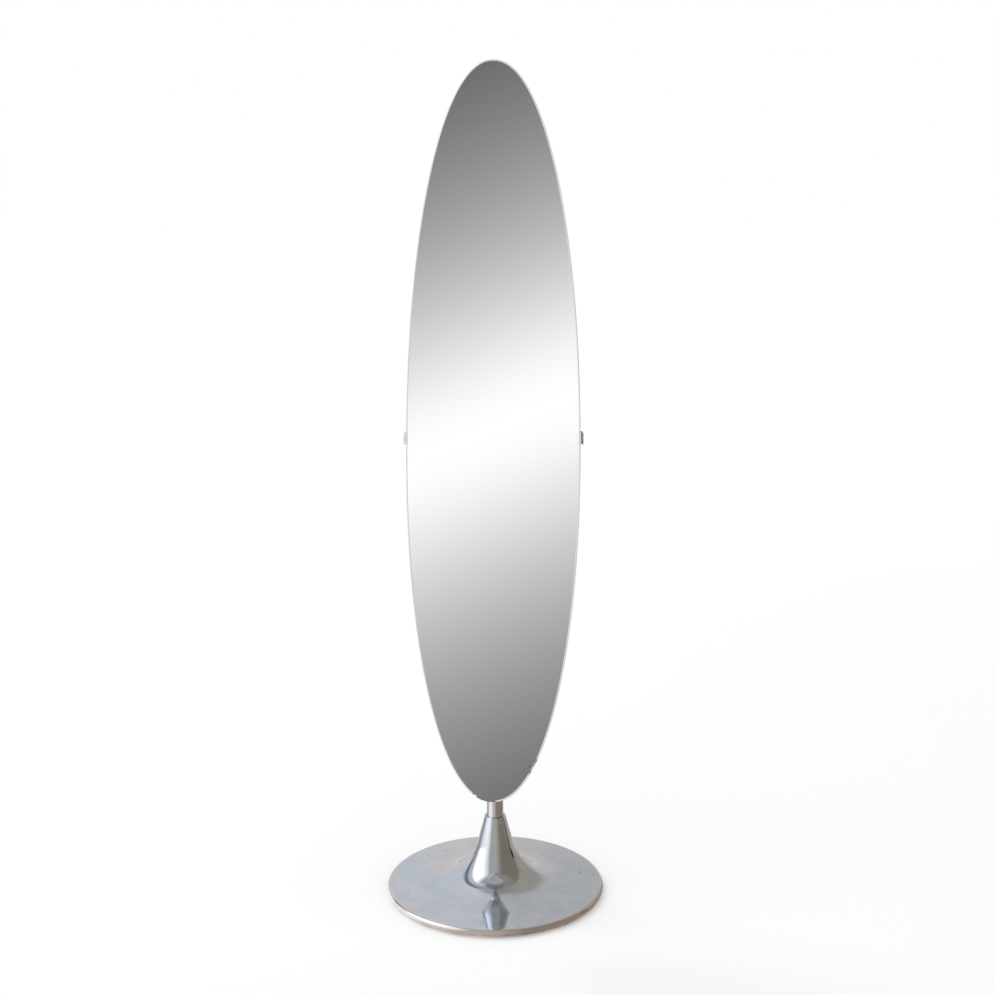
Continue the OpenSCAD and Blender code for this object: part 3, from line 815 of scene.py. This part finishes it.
# The bright band that the glass shows: its light, how far it lies above the middle of the photograph's view
# of the glass, in radians, how soft it is, how steeply it slants and how far across it does so
BAND_LIGHT = 1.07
BAND_UP = -0.0016
BAND_SOFTNESS = 0.44
BAND_SLANT = 0.41
SLANT_REACH = 0.25

# How fast the light falls off above and below the band, and how it comes back high above
FALL_ABOVE = 9.6
FALL_BELOW = 8.9
TOP_RANGE = (0.25, 0.60)
TOP_LIGHT = (0.0, 0.8)

# The floor in the glass: far away it has the band's light at the horizon, which is HORIZON_UP at the sides
# and HORIZON_TURN lower in front. Near by, where the view of it is steeper, it has its own tone.
HORIZON_UP = -0.011
HORIZON_TURN = 0.227
FLOOR_IN_GLASS = (0.62, 0.62, 0.62)
FLOOR_STEEPNESS = (0.0, 0.40)
GLASS_ROOM_R = 26.0
GLASS_ROOM_SEGMENTS = 64
GLASS_HEIGHT = 0.9


def band_light(f, up, across):
    """The light of a wall that is bright in a slanting band and falls off to grey above and below."""
    levelled = f.math("TANH", f.math("DIVIDE", across, SLANT_REACH))
    slant = f.math("MULTIPLY", levelled, SLANT_REACH * BAND_SLANT)
    height = f.math("SUBTRACT", up, f.math("ADD", slant, BAND_UP))
    above = f.math("MULTIPLY", height, FALL_ABOVE)
    below = f.math("MULTIPLY", height, -FALL_BELOW)
    off = f.math("MAXIMUM", above, below)
    root = f.math("SQRT", f.math("ADD", f.math("MULTIPLY", off, off), BAND_SOFTNESS ** 2))
    return f.math("MULTIPLY", f.math("EXPONENT", f.math("SUBTRACT", BAND_SOFTNESS, root)), BAND_LIGHT)


def singular_rays(f):
    """1 for the rays that a perfectly smooth surface reflects, and only the glass is one."""
    return f.add("ShaderNodeLightPath").outputs["Is Singular Ray"]


def add_glass_room(camera):
    """A ball that shows in the glass alone, round the camera's mirror image, with the photograph's band."""
    face = MIRROR_FRAME @ Vector((0, GLASS_LOW.y, 0))
    normal = MIRROR_FRAME.to_3x3() @ Vector((0, -1, 0))
    reflection = Matrix.Translation(face) @ Matrix.Scale(-1, 4, normal) @ Matrix.Translation(-face)

    def glow(f):
        direction = f.add("ShaderNodeVectorMath", {0: f.place}, operation="NORMALIZE").outputs[0]
        axes = f.axes(direction)
        band = band_light(f, f.math("ARCSINE", axes["Y"]), axes["X"])
        top = f.spread(axes["Y"], *TOP_RANGE, *TOP_LIGHT)
        f.put(f.shader.inputs["Emission Color"], rgb(1, 1, 1))
        f.put(f.shader.inputs["Emission Strength"], f.math("ADD", band, top))
        f.put(f.shader.inputs["Alpha"], singular_rays(f))

    ball = skin(turned(arc(Vector((0, 0)), GLASS_ROOM_R, -90, 90, steps=48), GLASS_ROOM_SEGMENTS))
    add_card("glass_room", ball, reflection @ camera.matrix_world, glow)


# The room that the metal shows: from and to in degrees from the front, positive to the right, and its light
ROOM = [
    (-174, -168, (0.74, 0.76, 0.79)),  # wall behind
    (-160, -129, (0.80, 0.82, 0.85)),  # the same, lit
    (-124, -119, (0.20, 0.22, 0.27)),  # dark post
    (-114, -104, (0.70, 0.72, 0.78)),  # curtain
    (-99, -62, (1.90, 1.93, 1.97)),  # window
    (-54, -48, (1.35, 1.38, 1.40)),  # window's curtain
    (-28, 4, (0.55, 0.55, 0.51)),  # wall in front
    (36, 104, (0.28, 0.24, 0.19)),  # wooden furniture
    (112, 152, (0.44, 0.41, 0.36)),  # wall on the right
    (162, 176, (0.57, 0.58, 0.58)),  # wall behind, in shade
]

# The floor of that room, in the same way
FLOOR = [
    (-178, -142, (0.80, 0.74, 0.70)),  # behind
    (-132, -110, (0.42, 0.43, 0.46)),  # under the curtain
    (-86, -50, (1.25, 1.24, 1.22)),  # lit by the window
    (-20, -4, (0.66, 0.57, 0.51)),  # in front
    (16, 92, (0.36, 0.27, 0.21)),  # brown rug
    (97, 103, (0.10, 0.09, 0.08)),  # in the doorway's shade
    (108, 150, (0.54, 0.50, 0.46)),  # on the right
    (165, 179, (0.76, 0.69, 0.64)),  # behind on the right
]
ROOM_R = 30.0
ROOM_SEGMENTS = 128
CEILING_LEFT = (0.45, 0.47, 0.50)
CEILING_RIGHT = (0.38, 0.34, 0.30)
SILL_TONE = (1.22, 1.27, 1.32)
WARM_LIGHT = (0.80, 0.70, 0.66)
DOORWAY = (0.02, 0.02, 0.02)
DOOR_AT = math.radians(103)
DOOR_HALF_WIDTH = math.radians(5)

# Soft borders in that room: across and along it in metres, and heights as shares of its radius
RIGHT_SIDE = (-0.1 * ROOM_R, 0.1 * ROOM_R)
FRONT_HALF = (-0.1 * ROOM_R, 0.3 * ROOM_R)
BACK_HALF = (-0.1 * ROOM_R, 0.1 * ROOM_R)
BACK_WALL = (0.8 * ROOM_R, 0.9 * ROOM_R)
LEFT_WALL = (-0.7 * ROOM_R, -0.5 * ROOM_R)
FRONT_CEILING = (0.83, 0.93)
CEILING = (0.90, 0.98)
CEILING_SLANT = 0.02
DOOR_TOP = (0.22, 0.28)
WARM_TOP = (0.26, 0.38)
WARM_STRENGTH = 0.55
SILL_TOP = (-0.02, 0.14)

# The metal's floor starts inside the foot's edge, a little above the floor that shows
ROOM_FLOOR_HOLE_R = FOOT_R - 15 * MM
ROOM_FLOOR_HEIGHT = 0.3 * MM


def turn_round(f):
    """The angle round the object from the front, positive to the right."""
    axes = f.axes(f.place)
    return f.math("ARCTAN2", axes["X"], f.math("MULTIPLY", axes["Y"], -1.0))


def tone_at(f, turn, surfaces):
    """The colour of the surface at a turn, blended over the gaps between surfaces."""
    stops = []
    for start, end, colour in surfaces:
        stops += [(0.5 + start / 360, rgb(*colour)), (0.5 + end / 360, rgb(*colour))]
    return f.ramp(f.math("ADD", f.math("DIVIDE", turn, math.tau), 0.5), stops)


def add_room():
    """A dome with the light of a room, seen in the metal alone."""
    def glow(f):
        turn = turn_round(f)
        axes = f.axes(f.place)
        height = f.math("DIVIDE", axes["Z"], ROOM_R)
        right = f.spread(axes["X"], *RIGHT_SIDE)

        slanted = f.math("ADD", height, f.math("MULTIPLY", right, CEILING_SLANT))
        front = f.spread(axes["Y"], *FRONT_HALF, 1.0, 0.0)
        front_ceiling = f.math("MULTIPLY", f.spread(slanted, *FRONT_CEILING), front)
        above = f.math("MAXIMUM", front_ceiling, f.spread(height, *CEILING))
        ceiling = f.mix(right, rgb(*CEILING_LEFT), rgb(*CEILING_RIGHT))

        off_door = f.math("ABSOLUTE", f.math("SUBTRACT", turn, DOOR_AT))
        door = f.math("MULTIPLY", f.math("LESS_THAN", off_door, DOOR_HALF_WIDTH),
                      f.spread(height, *DOOR_TOP, 1.0, 0.0))
        warm = f.math("MULTIPLY", f.spread(height, *WARM_TOP, 1.0, 0.0), f.spread(axes["Y"], *BACK_WALL))
        beside_window = f.math("MULTIPLY", f.spread(axes["X"], *LEFT_WALL, 1.0, 0.0),
                               f.spread(axes["Y"], *BACK_HALF, 1.0, 0.0))
        sill = f.math("MULTIPLY", f.spread(height, *SILL_TOP, 1.0, 0.0), beside_window)
        walls = f.mix(door, tone_at(f, turn, ROOM), rgb(*DOORWAY))
        walls = f.over(walls, warm, WARM_STRENGTH, rgb(*WARM_LIGHT))
        walls = f.mix(sill, walls, rgb(*SILL_TONE))
        f.put(f.shader.inputs["Emission Color"], f.mix(above, walls, ceiling))

    dome = skin(turned(arc(Vector((0, 0)), ROOM_R, -0.5, 90, steps=48), ROOM_SEGMENTS))
    add_card("room", dome, Matrix(), glow)


def add_room_floor():
    """The floor of that room, seen in the metal. The glass shows one that is pale near the mirror."""
    def glow(f):
        from_foot = f.length(f.place)
        axes = f.axes(f.place)
        across = f.math("ADD", f.math("DIVIDE", axes["X"], from_foot), math.sin(CAMERA_AZIMUTH))
        ahead = f.math("DIVIDE", axes["Y"], from_foot)
        up = f.math("ADD", f.math("MULTIPLY", ahead, HORIZON_TURN), HORIZON_UP)
        near = f.spread(f.math("DIVIDE", GLASS_HEIGHT, from_foot), *FLOOR_STEEPNESS)
        in_glass = f.mix(near, band_light(f, up, across), rgb(*FLOOR_IN_GLASS))
        in_metal = tone_at(f, turn_round(f), FLOOR)
        f.put(f.shader.inputs["Emission Color"], f.mix(singular_rays(f), in_metal, in_glass))

    ring = skin(turned([(ROOM_FLOOR_HOLE_R, 0), (ROOM_R, 0)], ROOM_SEGMENTS))
    add_card("room_floor", ring, Matrix.Translation((0, 0, ROOM_FLOOR_HEIGHT)), glow)


paint_nodes()
add_foot()
add_pole()
add_mirror()
add_refined_pieces()
photo_camera = add_camera()
add_world()
add_floor()
add_key_lamp()
add_glass_room(photo_camera)
add_room()
add_room_floor()
bpy.context.scene.view_settings.view_transform = "Standard"
